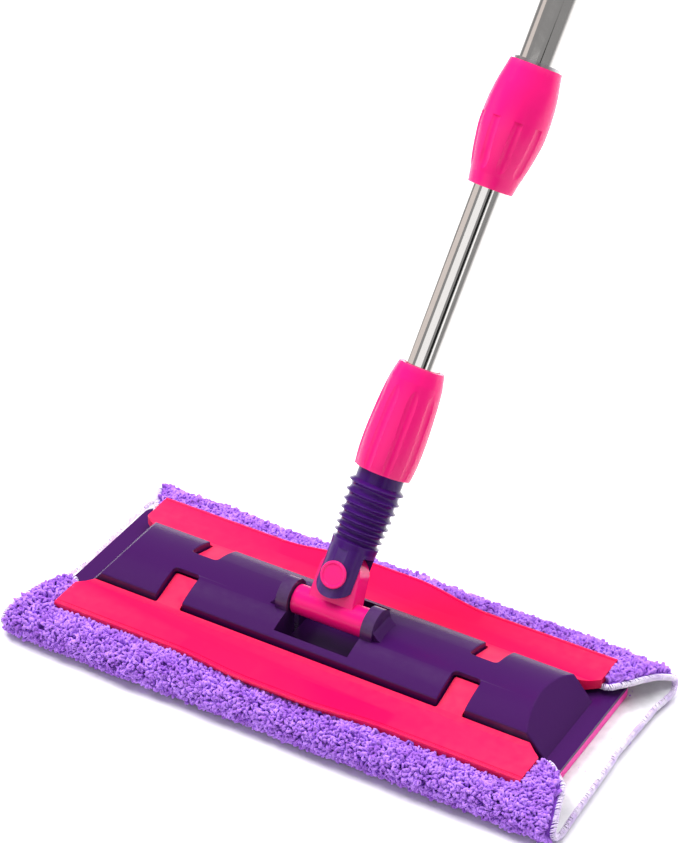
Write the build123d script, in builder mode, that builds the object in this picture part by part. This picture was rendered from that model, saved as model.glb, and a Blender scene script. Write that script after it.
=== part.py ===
"""Flat mop: cloth head with two clip flaps, swivel joint and telescopic steel handle.

Millimetres, +Z up. The origin is the centre of the cloth sole on the floor, X runs along
the head and -Y is the head's front. The handle stands in its working lean: the swivel
barrel turns about X, the tilt pin crosses it, and the handle leaves the pin.
Handle parts are drawn upright from the tilt pin's centre and then moved into the lean.
"""
from build123d import *

import os

# ---------------------------------------------------------------- driving dimensions
PLATE_L = 350.0            # head plate, along X
PLATE_W = 124.0            # head plate, along Y
CLOTH_T = 6.0              # cloth under the plate, backing and pile
PLATE_T = 6.5              # sole plate
FLANGE_T = 2.5             # housing flange on the sole plate
WALL = 2.5                 # housing wall
COVER_HALF_W = 31.5        # arched cover, half its width
RIM_RISE = 15.4            # cover's long edges above the flange
CREST_RISE = 22.9          # cover's crest above the flange
HIP_HALF_L = 163.4         # foot of the sloping ends, from the middle
HIP_RUN = 0.83             # run of the sloping ends for each unit of rise

LEAN = 33.0                # handle lean towards +Y, degrees
TILT = 4.7                 # handle tilt towards +X, degrees
AXLE_RISE = 24.3           # swivel axle above the flange
PIN_RISE = 23.5            # tilt pin from the swivel axle

TUBE_R = 11.0              # lower tube
UPPER_TUBE_R = 12.5        # upper tube
TUBE_WALL = 0.6
RUNNING = 0.35             # gap between curved faces of bodies that turn on each other
FIT = 0.05                 # radial clearance of a pin or a guided tube

FLAP_HALF_L = 163.5
FLAP_INNER_Y = 33.3
FLAP_OUTER_Y = 64.5
FLAP_T = 2.2
HINGE_Y = 40.0
TAB_IN_X = 91.2            # press tab, from and to along X
TAB_OUT_X = 107.8
TAB_TIP_Y = 10.0

# ---------------------------------------------------------------- derived heights
PLATE_Z = CLOTH_T
FLANGE_Z = PLATE_Z + PLATE_T
DECK_Z = FLANGE_Z + FLANGE_T
RIM_Z = DECK_Z + RIM_RISE
CREST_Z = DECK_Z + CREST_RISE
AXLE_Z = DECK_Z + AXLE_RISE
HINGE_Z = DECK_Z + 4.6

KNUCKLE = Location((0, 0, AXLE_Z), (-LEAN, 0, 0))
HANDLE = KNUCKLE * Location((0, 0, PIN_RISE)) * Location((0, 0, 0), (0, TILT, 0))

os.makedirs("parts", exist_ok=True)


def finish(builder, label, place=None):
    """Move a sub-part to its place, label it and write its STEP file."""
    if place is not None:
        builder.part.move(place)
    builder.part.label = label
    export_step(builder.part, f"parts/{label}.step")


# ---------------------------------------------------------------- cloth
CLOTH_L = 390.0
CLOTH_BULGE = 86.0         # half width at the puffed long edges
CLOTH_INNER = 63.0         # where the cloth turns up past the plate's edge
CLOTH_HEM = 47.0           # where the turned-in edge ends under the flap
CLOTH_ROUND = 9.0
CLOTH_GAP = 0.1            # between the turned-in edge and the flange
CLOTH_TOP = DECK_Z + 2.7

with BuildPart() as mop_cloth:
    with BuildSketch(Plane.YZ.offset(-CLOTH_L / 2)):
        with BuildLine():
            Polyline(
                (0, 0),
                (CLOTH_BULGE - CLOTH_ROUND, 0),
            )
            RadiusArc(
                (CLOTH_BULGE - CLOTH_ROUND, 0),
                (CLOTH_BULGE, CLOTH_ROUND),
                -CLOTH_ROUND,
            )
            RadiusArc(
                (CLOTH_BULGE, CLOTH_ROUND),
                (CLOTH_BULGE - CLOTH_ROUND, CLOTH_TOP),
                -CLOTH_ROUND,
            )
            Polyline(
                (CLOTH_BULGE - CLOTH_ROUND, CLOTH_TOP),
                (CLOTH_HEM, CLOTH_TOP),
                (CLOTH_HEM, DECK_Z + CLOTH_GAP),
                (CLOTH_INNER, DECK_Z + CLOTH_GAP),
                (CLOTH_INNER, CLOTH_T),
                (0, CLOTH_T),
                (0, 0),
            )
        make_face()
        mirror(about=Plane.YZ)
    extrude(amount=CLOTH_L)
finish(mop_cloth, "mop_cloth")


# ---------------------------------------------------------------- sole plate and screws
PLATE_CORNER_R = 8.0
SCREW_XS = (-128.0, -58.0, 58.0, 128.0)
SCREW_R = 1.75
SCREW_HEAD_R = 3.4
SCREW_HEAD_H = 2.2
SCREW_L = 15.0
BOSS_R = 4.5

with BuildPart() as sole_plate:
    with BuildSketch(Plane.XY.offset(PLATE_Z)):
        RectangleRounded(PLATE_L, PLATE_W, PLATE_CORNER_R)
    extrude(amount=PLATE_T)
    chamfer(sole_plate.edges().group_by(Axis.Z)[0], length=0.8)
    with Locations(*[(x, 0, PLATE_Z) for x in SCREW_XS]):
        Cylinder(SCREW_R + FIT, PLATE_T, align=(Align.CENTER, Align.CENTER, Align.MIN),
                 mode=Mode.SUBTRACT)
        Cylinder(SCREW_HEAD_R + FIT, SCREW_HEAD_H + FIT,
                 align=(Align.CENTER, Align.CENTER, Align.MIN), mode=Mode.SUBTRACT)
finish(sole_plate, "sole_plate")

with BuildPart() as housing_screws:
    with Locations(*[(x, 0, PLATE_Z) for x in SCREW_XS]):
        Cylinder(SCREW_R, SCREW_L, align=(Align.CENTER, Align.CENTER, Align.MIN))
        Cylinder(SCREW_HEAD_R, SCREW_HEAD_H, align=(Align.CENTER, Align.CENTER, Align.MIN))
finish(housing_screws, "housing_screws")


# ---------------------------------------------------------------- housing
WELL_HALF_X = 26.0
WELL_HALF_Y = 27.0
WELL_FLOOR = DECK_Z
EAR_R = 12.2
EAR_T = 8.0
EAR_SKIN = 2.0             # closed outer wall of an ear, past the axle's end
NOTCH_OPEN_Y = 40.0        # notches are cut out to here, past the cover's side
RAMP_X = 5.5               # gusset's run outside each ear
RAMP_Z = AXLE_Z + 3.0
GUSSET_HALF_Y = 10.0
NOTCH_IN_X = 90.1
NOTCH_OUT_X = 108.9
NOTCH_Y = 9.2
NOTCH_ROUND = 3.0
TIP_ROOM_Y = 6.4           # undercut behind the notch's inner border
TIP_ROOM_H = 19.2
NOTCH_EDGE = 0.7           # rounding of the notch's upper border
EDGE_ROUND = 1.2           # rounding of the cover's outer edges
AXLE_R = 2.5
AXLE_END_GAP = 0.5
HINGE_ROD_R = 1.25
LUG_R = 2.6
LUG_T = 5.0
LUG_XS = (-140.0, -72.0, 72.0, 140.0)
KNUCKLE_T = 8.0
KNUCKLE_GAP = 0.5
SPRING_Y = 18.0
SIDES = (-1, 1)


def cover_block(inset, rounding=0):
    """Solid arch with sloping ends, drawn in from the outer face by inset."""
    half_w = COVER_HALF_W - inset
    with BuildPart() as block:
        with BuildSketch(Plane.YZ.offset(-PLATE_L / 2)):
            with BuildLine():
                ThreePointArc(
                    (-half_w, RIM_Z - inset),
                    (0, CREST_Z - inset),
                    (half_w, RIM_Z - inset),
                )
                Polyline(
                    (half_w, RIM_Z - inset),
                    (half_w, FLANGE_Z),
                    (-half_w, FLANGE_Z),
                    (-half_w, RIM_Z - inset),
                )
            make_face()
        extrude(amount=PLATE_L)
        foot = HIP_HALF_L - inset + FLANGE_T * HIP_RUN
        head = foot - (CREST_Z + 1 - FLANGE_Z) * HIP_RUN
        with BuildSketch(Plane.XZ.offset(-COVER_HALF_W)):
            with BuildLine():
                Polyline(
                    (-foot, FLANGE_Z),
                    (foot, FLANGE_Z),
                    (head, CREST_Z + 1),
                    (-head, CREST_Z + 1),
                    close=True,
                )
            make_face()
        extrude(amount=2 * COVER_HALF_W, mode=Mode.INTERSECT)
        if rounding:
            fillet(block.edges().filter_by(lambda e: e.center().Z > FLANGE_Z + 1), rounding)
    return block.part


def under_cover(x, y, length, width):
    """Solid of a rectangle in plan, from the flange's foot up to the cover's outer face."""
    with BuildPart() as column:
        with Locations((x, y, FLANGE_Z)):
            Box(length, width, CREST_RISE + FLANGE_T,
                align=(Align.CENTER, Align.CENTER, Align.MIN))
        add(cover_outer, mode=Mode.INTERSECT)
    return column.part


def screw_bosses():
    """Round bosses over the screws, up to the cover's outer face."""
    with BuildPart() as bosses:
        with Locations(*[(x, 0, FLANGE_Z) for x in SCREW_XS]):
            Cylinder(BOSS_R, CREST_RISE, align=(Align.CENTER, Align.CENTER, Align.MIN))
        add(cover_outer, mode=Mode.INTERSECT)
    return bosses.part


def above_rim(edge):
    """Whether an edge lies along the cover's arched face and not down a wall."""
    box = edge.bounding_box()
    return box.min.Z > RIM_Z - EDGE_ROUND and abs(box.min.Y) < COVER_HALF_W + EDGE_ROUND


def round_a_notch(edge):
    """Whether an edge is the upper border of a tab notch."""
    x = abs(edge.center().X)
    y = abs(edge.center().Y)
    inside_x = NOTCH_IN_X - FIT <= x <= NOTCH_OUT_X + FIT
    return above_rim(edge) and inside_x and NOTCH_Y - FIT <= y <= COVER_HALF_W


cover_outer = cover_block(0, EDGE_ROUND)
cover_inner = cover_block(WALL)
well_block = under_cover(0, 0, 2 * (WELL_HALF_X + EAR_T), 2 * COVER_HALF_W)
notch_blocks = [
    under_cover(
        sx * (NOTCH_IN_X + NOTCH_OUT_X) / 2,
        sy * (TIP_ROOM_Y - WALL + COVER_HALF_W) / 2,
        NOTCH_OUT_X - NOTCH_IN_X + 2 * WALL,
        COVER_HALF_W - TIP_ROOM_Y + WALL,
    )
    for sx in SIDES
    for sy in SIDES
]

with BuildPart() as housing:
    add(cover_outer)
    add(cover_inner, mode=Mode.SUBTRACT)
    # flange over the whole sole plate
    with BuildSketch(Plane.XY.offset(FLANGE_Z)):
        RectangleRounded(PLATE_L, PLATE_W, PLATE_CORNER_R)
    extrude(amount=FLANGE_T)
    # swivel well, its walls and the ears' webs inside the arch
    add(well_block)
    # ears with their gussets
    for side in SIDES:
        with BuildSketch(Plane.YZ.offset(side * WELL_HALF_X)):
            with Locations((0, AXLE_Z)):
                Circle(EAR_R)
            with Locations((0, (DECK_Z + AXLE_Z) / 2)):
                Rectangle(2 * EAR_R, AXLE_RISE)
        extrude(amount=side * EAR_T)
        ear_face = side * (WELL_HALF_X + EAR_T)
        with BuildSketch(Plane.XZ):
            with BuildLine():
                Polyline(
                    (ear_face, RAMP_Z),
                    (ear_face + side * RAMP_X, CREST_Z - 1),
                    (ear_face, CREST_Z - 1),
                    close=True,
                )
            make_face()
        extrude(amount=GUSSET_HALF_Y, both=True)
    # walls round the tab notches, and screw bosses
    add(notch_blocks)
    add(screw_bosses())
    # the well's opening
    with Locations((0, 0, WELL_FLOOR)):
        Box(2 * WELL_HALF_X, 2 * WELL_HALF_Y, 2 * CREST_RISE,
            align=(Align.CENTER, Align.CENTER, Align.MIN), mode=Mode.SUBTRACT)
    # tab notches, open through the cover's long edges
    for sx in SIDES:
        for sy in SIDES:
            with BuildSketch(Plane.XY.offset(DECK_Z)):
                with Locations((sx * (NOTCH_IN_X + NOTCH_OUT_X) / 2, sy * (NOTCH_Y + NOTCH_OPEN_Y) / 2)):
                    RectangleRounded(NOTCH_OUT_X - NOTCH_IN_X, NOTCH_OPEN_Y - NOTCH_Y, NOTCH_ROUND)
            extrude(amount=CREST_RISE + 1, mode=Mode.SUBTRACT)
    fillet(housing.edges().filter_by(round_a_notch), NOTCH_EDGE)
    # room under the cover's skin for the tabs' tips on their way down
    for sx in SIDES:
        for sy in SIDES:
            with Locations((sx * (NOTCH_IN_X + NOTCH_OUT_X) / 2, sy * TIP_ROOM_Y, DECK_Z)):
                Box(NOTCH_OUT_X - NOTCH_IN_X, 2 * (NOTCH_Y + NOTCH_ROUND - TIP_ROOM_Y),
                    TIP_ROOM_H, align=(Align.CENTER, Align.MIN if sy > 0 else Align.MAX, Align.MIN),
                    mode=Mode.SUBTRACT)
    # hinge lugs outside the long edges
    for sy in SIDES:
        for x in LUG_XS:
            with BuildSketch(Plane.YZ.offset(x - LUG_T / 2)):
                with Locations((sy * HINGE_Y, HINGE_Z)):
                    Circle(LUG_R)
                with Locations((sy * HINGE_Y, (DECK_Z + HINGE_Z) / 2)):
                    Rectangle(2 * LUG_R, HINGE_Z - DECK_Z)
            extrude(amount=LUG_T)
        with Locations(Location((0, sy * HINGE_Y, HINGE_Z), (0, 90, 0))):
            Cylinder(HINGE_ROD_R + FIT / 2, 2 * FLAP_HALF_L, mode=Mode.SUBTRACT)
    # slots that take the swivel axle up into the ears from below
    for side in SIDES:
        with BuildSketch(Plane.YZ.offset(side * WELL_HALF_X)):
            with Locations((0, AXLE_Z)):
                Circle(AXLE_R + FIT)
            with Locations((0, (FLANGE_Z + AXLE_Z) / 2)):
                Rectangle(2 * (AXLE_R + FIT), AXLE_Z - FLANGE_Z)
        extrude(amount=side * (EAR_T - EAR_SKIN), mode=Mode.SUBTRACT)
    # screw pilot holes
    with Locations(*[(x, 0, FLANGE_Z) for x in SCREW_XS]):
        Cylinder(SCREW_R + FIT, SCREW_L - PLATE_T + 1,
                 align=(Align.CENTER, Align.CENTER, Align.MIN), mode=Mode.SUBTRACT)
finish(housing, "housing")


# ---------------------------------------------------------------- swivel axle and its keepers
with BuildPart() as swivel_axle:
    with Locations(Location((0, 0, AXLE_Z), (0, 90, 0))):
        Cylinder(AXLE_R, 2 * (WELL_HALF_X + EAR_T - EAR_SKIN - AXLE_END_GAP))
finish(swivel_axle, "swivel_axle")

KEEPER_TOP = AXLE_Z - AXLE_R - FIT
KEEPER_L = EAR_T - EAR_SKIN - 2 * FIT

with BuildPart() as axle_keepers:
    for side in SIDES:
        with Locations((side * (WELL_HALF_X + (EAR_T - EAR_SKIN) / 2), 0, FLANGE_Z)):
            Box(KEEPER_L, 2 * AXLE_R, KEEPER_TOP - FLANGE_Z,
                align=(Align.CENTER, Align.CENTER, Align.MIN))
finish(axle_keepers, "axle_keepers")


# ---------------------------------------------------------------- flap hinge rods and springs
ROD_HALF_L = LUG_XS[-1] + LUG_T / 2 + 4

for label, sy in (("front_hinge_rod", -1), ("back_hinge_rod", 1)):
    with BuildPart() as hinge_rod:
        with Locations(Location((0, sy * HINGE_Y, HINGE_Z), (0, 90, 0))):
            Cylinder(HINGE_ROD_R, 2 * ROD_HALF_L)
    finish(hinge_rod, label)

SPRING_R = 3.2
SPRING_WIRE_R = 0.45
SPRING_PITCH = 2.5
SPRING_TURNS = 4
TAB_MID_X = (TAB_IN_X + TAB_OUT_X) / 2

for label, sy in (("front_tab_springs", -1), ("back_tab_springs", 1)):
    with BuildPart() as tab_springs:
        for sx in SIDES:
            start = (sx * TAB_MID_X, sy * SPRING_Y, DECK_Z + SPRING_WIRE_R)
            with BuildLine() as coil:
                Helix(SPRING_PITCH, SPRING_PITCH * SPRING_TURNS, SPRING_R, center=start)
            with BuildSketch(Plane(origin=coil.line @ 0, z_dir=coil.line % 0)):
                Circle(SPRING_WIRE_R)
            sweep(path=coil.line)
    finish(tab_springs, label)


# ---------------------------------------------------------------- flaps
STRIP_Z = DECK_Z + 9.8     # flat strip beside the cover
SKIRT_Z = DECK_Z + 3.2     # bottom of the flap's walls
INNER_BEVEL = 3.7          # the strip slopes up to the cover here, in line with the tabs
GROOVE_IN = 3.4            # groove that sets off the outer rim
GROOVE_W = 1.2
GROOVE_DEPTH = 0.5
RIM_ROUND = 1.4            # rounding of the outer rim
LIP_OUT = 6.0              # the finger lip's reach past the straight edge, in the middle
LIP_RISE = 1.9             # how far its rim curls up
LIP_ROOT_Y = 50.0          # the strip starts to rise here
STRIP_DIP = 0.2            # the strip is hollowed by this much at its middle
PAD_DROP = 0.2             # the outer wall's foot stands this far below the other walls
LIP_FOOT_OUT = 3.6         # how far the outer wall's foot follows the lip out and up
LIP_FOOT_RISE = 2.8
LIP_HALF_X = 20.0          # full reach up to here, then an S-curve back to the straight edge
LIP_END_X = 74.0
LIP_STEPS = 12
FOOT_W = 4.4               # width of the pad that grips the cloth
ROOF_ROUND = 0.8           # inner corner of the hollow
ROOF_SLOPE = 3.0           # slope of the hollow's roof at the outer rim
TAB_TIP_Z = DECK_Z + 18.1
TAB_T = 2.4
TAB_ROOT_R = 1.5
TAB_TIP_R = 1.2
TAB_SLOPE = (TAB_TIP_Z - STRIP_Z) / (FLAP_INNER_Y + INNER_BEVEL - TAB_TIP_Y)
END_CUT_X = 152.5          # inner corners are cut from here to the flap's end
END_CUT_Y = 41.0
ROD_BORE_END = 4.0         # the rod's bore ends this far past the rod


def lip_share(x):
    """How much of the finger lip stands at x: 1 in the middle and 0 past its ends."""
    share = (LIP_END_X - abs(x)) / (LIP_END_X - LIP_HALF_X)
    share = min(1.0, max(0.0, share))
    return share * share * (3 - 2 * share)


def lip_stations(half_length):
    """Places along X where the flap's section is drawn."""
    step = (LIP_END_X - LIP_HALF_X) / LIP_STEPS
    curve = [LIP_HALF_X + step * index for index in range(LIP_STEPS + 1)]
    right = curve + [half_length]
    return [-x for x in reversed(right)] + right


def outer_section(x, sy):
    """Outline of the flap across its length at x."""
    lip = lip_share(x)
    edge = FLAP_OUTER_Y + LIP_OUT * lip
    top = STRIP_Z + LIP_RISE * lip
    groove = edge - GROOVE_IN
    foot = FLAP_OUTER_Y + LIP_FOOT_OUT * lip
    foot_z = SKIRT_Z - PAD_DROP + LIP_FOOT_RISE * lip
    outline = (
        (FLAP_INNER_Y, SKIRT_Z),
        (FLAP_INNER_Y, STRIP_Z + INNER_BEVEL * TAB_SLOPE),
        (FLAP_INNER_Y + INNER_BEVEL, STRIP_Z),
        (LIP_ROOT_Y, STRIP_Z - STRIP_DIP),
        (groove, top),
        (groove + GROOVE_W / 2, top - GROOVE_DEPTH),
        (groove + GROOVE_W, top),
        (edge - RIM_ROUND, top),
        (edge - RIM_ROUND / 4, top - RIM_ROUND / 4),
        (edge, top - RIM_ROUND),
        (foot, foot_z),
        (foot - FLAP_T, foot_z),
        (FLAP_OUTER_Y - FLAP_T - FOOT_W, SKIRT_Z),
    )
    return [(sy * y, z) for y, z in outline]


def inner_section(x, sy):
    """Outline of the hollow under the flap at x."""
    wall = FLAP_OUTER_Y + LIP_FOOT_OUT * lip_share(x) - FLAP_T
    roof = STRIP_Z - FLAP_T
    outline = (
        (FLAP_INNER_Y + FLAP_T, SKIRT_Z - 1),
        (FLAP_INNER_Y + FLAP_T, roof - ROOF_ROUND),
        (FLAP_INNER_Y + FLAP_T + ROOF_ROUND, roof),
        (wall - ROOF_SLOPE, roof),
        (wall, roof - ROOF_SLOPE / 2),
        (wall, SKIRT_Z - 1),
    )
    return [(sy * y, z) for y, z in outline]


def at_tab_root(edge):
    """Whether an upright edge stands where a tab's side meets the flap's inner wall."""
    x = abs(edge.center().X)
    y = abs(edge.center().Y)
    beside_tab = min(abs(x - TAB_IN_X), abs(x - TAB_OUT_X)) < FIT
    return beside_tab and abs(y - FLAP_INNER_Y) < FIT


def at_tab_tip(edge):
    """Whether an upright edge stands at a tab's tip."""
    return abs(abs(edge.center().Y) - TAB_TIP_Y) < FIT


def flap(label, sy):
    """One clip flap with its two press tabs; sy is -1 for the front and 1 for the back."""
    with BuildPart() as body:
        # full body with its finger lip, then hollowed from below
        for x in lip_stations(FLAP_HALF_L):
            with BuildSketch(Plane.YZ.offset(x)):
                Polygon(*outer_section(x, sy), align=None)
        loft(ruled=True)
        for x in lip_stations(FLAP_HALF_L - FLAP_T):
            with BuildSketch(Plane.YZ.offset(x)):
                Polygon(*inner_section(x, sy), align=None)
        loft(ruled=True, mode=Mode.SUBTRACT)
        # press tabs, rising into the cover's notches
        for sx in SIDES:
            with BuildSketch(Plane.YZ.offset(sx * TAB_IN_X)):
                with BuildLine():
                    Polyline(
                        (sy * (FLAP_INNER_Y + INNER_BEVEL), STRIP_Z),
                        (sy * TAB_TIP_Y, TAB_TIP_Z),
                        (sy * TAB_TIP_Y, TAB_TIP_Z - TAB_T),
                        (sy * (FLAP_INNER_Y + FLAP_T), STRIP_Z - TAB_T),
                        close=True,
                    )
                make_face()
            extrude(amount=sx * (TAB_OUT_X - TAB_IN_X))
        # fillets where the tabs leave the flap, and rounded tab corners
        fillet(body.edges().filter_by(Axis.Z).filter_by(at_tab_root), TAB_ROOT_R)
        fillet(body.edges().filter_by(Axis.Z).filter_by(at_tab_tip), TAB_TIP_R)
        # inner corners filled in, then cut back beside the cover's sloping ends
        for sx in SIDES:
            with BuildSketch(Plane.XY.offset(SKIRT_Z)):
                with BuildLine():
                    Polyline(
                        (sx * (END_CUT_X - 2 * FLAP_T), sy * (FLAP_INNER_Y + 1)),
                        (sx * (FLAP_HALF_L - 1), sy * (FLAP_INNER_Y + 1)),
                        (sx * (FLAP_HALF_L - 1), sy * (END_CUT_Y + 2 * FLAP_T)),
                        close=True,
                    )
                make_face()
            extrude(amount=STRIP_Z - SKIRT_Z - 1)
            with BuildSketch(Plane.XY.offset(DECK_Z)):
                with BuildLine():
                    Polyline(
                        (sx * END_CUT_X, sy * (FLAP_INNER_Y - 1)),
                        (sx * (FLAP_HALF_L + 1), sy * (FLAP_INNER_Y - 1)),
                        (sx * (FLAP_HALF_L + 1), sy * (END_CUT_Y + 1)),
                        close=True,
                    )
                make_face()
            extrude(amount=STRIP_Z, mode=Mode.SUBTRACT)
        # hinge knuckles beside the housing's lugs
        for x in LUG_XS:
            centre = x + (LUG_T + KNUCKLE_T) / 2 * (-1 if x > 0 else 1)
            centre += KNUCKLE_GAP * (-1 if x > 0 else 1)
            with BuildSketch(Plane.YZ.offset(centre - KNUCKLE_T / 2)):
                with Locations((sy * HINGE_Y, HINGE_Z)):
                    Circle(LUG_R)
                with Locations((sy * HINGE_Y, (STRIP_Z - 1 + HINGE_Z) / 2)):
                    Rectangle(2 * LUG_R, STRIP_Z - 1 - HINGE_Z)
            extrude(amount=KNUCKLE_T)
        with Locations(Location((0, sy * HINGE_Y, HINGE_Z), (0, 90, 0))):
            Cylinder(HINGE_ROD_R + FIT, 2 * (ROD_HALF_L + ROD_BORE_END), mode=Mode.SUBTRACT)
    finish(body, label)


flap("front_flap", -1)
flap("back_flap", 1)


# ---------------------------------------------------------------- swivel barrel with its tongue
BARREL_R = 9.4
BARREL_HALF_L = 25.4
TONGUE_T = 15.0
TONGUE_R = 14.3            # round top about the tilt pin
TONGUE_FOOT_HALF = 16.0
PIN_R = 3.0

TONGUE_EDGE = 0.6


def on_tongue_rim(edge):
    """Whether an edge borders the tongue's flat faces above the barrel."""
    middle = edge.center()
    return abs(abs(middle.Y) - TONGUE_T / 2) < FIT and middle.Z > BARREL_R


with BuildPart() as swivel_barrel:
    with Locations(Location((0, 0, 0), (0, 90, 0))):
        Cylinder(BARREL_R, 2 * BARREL_HALF_L)
    fillet(swivel_barrel.edges().filter_by(GeomType.CIRCLE), radius=0.8)
    with BuildSketch(Plane.XZ.offset(-TONGUE_T / 2)):
        with Locations((0, PIN_RISE)):
            Circle(TONGUE_R)
        with BuildLine():
            Polyline(
                (-TONGUE_FOOT_HALF, 0),
                (TONGUE_FOOT_HALF, 0),
                (TONGUE_R, PIN_RISE),
                (-TONGUE_R, PIN_RISE),
                close=True,
            )
        make_face()
    extrude(amount=TONGUE_T)
    fillet(swivel_barrel.edges().filter_by(on_tongue_rim), TONGUE_EDGE)
    with Locations(Location((0, 0, 0), (0, 90, 0))):
        Cylinder(AXLE_R + FIT, 2 * BARREL_HALF_L, mode=Mode.SUBTRACT)
    with Locations(Location((0, 0, PIN_RISE), (90, 0, 0))):
        Cylinder(PIN_R + FIT, TONGUE_T, mode=Mode.SUBTRACT)
finish(swivel_barrel, "swivel_barrel", KNUCKLE)


# ---------------------------------------------------------------- yoke, pin and caps
FOOT_R = 14.6
FOOT_HALF_T = 14.2         # flat faces of the fork, front and back
SLOT_HALF = 7.8
SLOT_TOP = 15.2
RIB_ZS = (21.6, 26.0, 30.5, 35.1, 40.0, 45.5, 51.5, 58.0)
RIB_R0 = 15.0
RIB_R1 = 17.5
RIB_DEPTH = 2.1
RIB_EDGE = 0.3
RIB_SHOULDER = 4.0         # plain foot ends this far below the first rib
NECK_R = 14.7
NECK_TOP = 97.0
SOCKET_FLOOR = 72.0
BORE_LOW = 24.0            # lightening bore inside the ribbed part


def rib_radius(index):
    """Radius of one rib's edge, growing evenly up the cone."""
    return RIB_R0 + (RIB_R1 - RIB_R0) * index / (len(RIB_ZS) - 1)


with BuildPart() as yoke:
    with BuildSketch(Plane.XZ):
        with BuildLine():
            last = (FOOT_R, RIB_ZS[0] - RIB_SHOULDER)
            Polyline((0, -FOOT_R), (FOOT_R, -FOOT_R), last)
            for index, height in enumerate(RIB_ZS):
                radius = rib_radius(index)
                low = (radius, height - RIB_EDGE)
                high = (radius, height + RIB_EDGE)
                if index == 0:
                    Line(last, low)
                else:
                    valley = ((last[0] + radius) / 2 - RIB_DEPTH, (last[1] + low[1]) / 2)
                    ThreePointArc(last, valley, low)
                Line(low, high)
                last = high
            Polyline(last, (NECK_R, last[1] + 2), (NECK_R, NECK_TOP), (0, NECK_TOP), (0, -FOOT_R))
        make_face()
    revolve(axis=Axis.Z)
    # round foot about the tilt pin
    with BuildSketch(Plane.XZ.offset(-2 * FOOT_R)):
        Rectangle(4 * FOOT_R, 2 * FOOT_R, align=(Align.CENTER, Align.MAX))
        Circle(FOOT_R, mode=Mode.SUBTRACT)
    extrude(amount=4 * FOOT_R, mode=Mode.SUBTRACT)
    # flat fork faces
    for side in SIDES:
        with Locations((0, side * (FOOT_HALF_T + FOOT_R / 2), -FOOT_R)):
            Box(4 * FOOT_R, FOOT_R, FOOT_R + RIB_ZS[0] - RIB_SHOULDER - 1,
                align=(Align.CENTER, Align.CENTER, Align.MIN), mode=Mode.SUBTRACT)
    # fork slot, pin hole and tube socket
    with Locations((0, 0, -FOOT_R)):
        Box(4 * FOOT_R, 2 * SLOT_HALF, FOOT_R + SLOT_TOP,
            align=(Align.CENTER, Align.CENTER, Align.MIN), mode=Mode.SUBTRACT)
    with Locations(Location((0, 0, 0), (90, 0, 0))):
        Cylinder(PIN_R + FIT / 2, 4 * FOOT_R, mode=Mode.SUBTRACT)
    with Locations((0, 0, SOCKET_FLOOR)):
        Cylinder(TUBE_R + FIT, NECK_TOP, align=(Align.CENTER, Align.CENTER, Align.MIN),
                 mode=Mode.SUBTRACT)
    with Locations((0, 0, BORE_LOW)):
        Cylinder(TUBE_R - 2, NECK_TOP, align=(Align.CENTER, Align.CENTER, Align.MIN),
                 mode=Mode.SUBTRACT)
finish(yoke, "yoke", HANDLE)

CAP_R = 8.6
CAP_T = 1.6
CAP_DISH = 0.5

with BuildPart() as tilt_pin:
    with Locations(Location((0, 0, 0), (90, 0, 0))):
        Cylinder(PIN_R, 2 * FOOT_HALF_T)
finish(tilt_pin, "tilt_pin", HANDLE)

for label, side in (("front_pin_cap", -1), ("back_pin_cap", 1)):
    with BuildPart() as pin_cap:
        with BuildSketch(Plane.XY):
            with BuildLine():
                Polyline((0, side * FOOT_HALF_T), (CAP_R, side * FOOT_HALF_T),
                         (CAP_R, side * (FOOT_HALF_T + CAP_T - 0.5)),
                         (CAP_R - 0.6, side * (FOOT_HALF_T + CAP_T)),
                         (CAP_R - 1.6, side * (FOOT_HALF_T + CAP_T)),
                         (CAP_R - 2.2, side * (FOOT_HALF_T + CAP_T - CAP_DISH)),
                         (0, side * (FOOT_HALF_T + CAP_T - CAP_DISH)),
                         close=True)
            make_face()
        revolve(axis=Axis.Y)
    finish(pin_cap, label, HANDLE)


# ---------------------------------------------------------------- lower tube and its fittings
LOWER_TUBE_TOP = 760.0
BUSH_H = 22.0

with BuildPart() as lower_tube:
    with Locations((0, 0, SOCKET_FLOOR)):
        Cylinder(TUBE_R, LOWER_TUBE_TOP - SOCKET_FLOOR,
                 align=(Align.CENTER, Align.CENTER, Align.MIN))
        Cylinder(TUBE_R - TUBE_WALL, LOWER_TUBE_TOP - SOCKET_FLOOR,
                 align=(Align.CENTER, Align.CENTER, Align.MIN), mode=Mode.SUBTRACT)
finish(lower_tube, "lower_tube", HANDLE)

with BuildPart() as tube_top_bush:
    with Locations((0, 0, LOWER_TUBE_TOP - BUSH_H)):
        Cylinder(TUBE_R - TUBE_WALL - FIT, BUSH_H,
                 align=(Align.CENTER, Align.CENTER, Align.MIN))
    with Locations((0, 0, LOWER_TUBE_TOP)):
        Cylinder(UPPER_TUBE_R - TUBE_WALL - FIT, BUSH_H / 2,
                 align=(Align.CENTER, Align.CENTER, Align.MIN))
finish(tube_top_bush, "tube_top_bush", HANDLE)

COLLET_R = 13.1
COLLET_LOW = 99.0
COLLET_HIGH = 126.0
SPLIT_W = 1.5


def split_ring(low, high, inner, outer_low, outer_high):
    """Tapered ring with one slit, gripping a tube; returns its builder."""
    with BuildPart() as ring:
        with BuildSketch(Plane.XZ):
            with BuildLine():
                Polyline((inner, low), (outer_low, low), (outer_high, high), (inner, high),
                         close=True)
            make_face()
        revolve(axis=Axis.Z)
        with Locations((outer_low / 2, 0, low)):
            Box(outer_low, SPLIT_W, high - low,
                align=(Align.MIN, Align.CENTER, Align.MIN), mode=Mode.SUBTRACT)
    return ring


lower_collet = split_ring(COLLET_LOW, COLLET_HIGH, TUBE_R + FIT, COLLET_R, COLLET_R - 1)
finish(lower_collet, "lower_collet", HANDLE)


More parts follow.
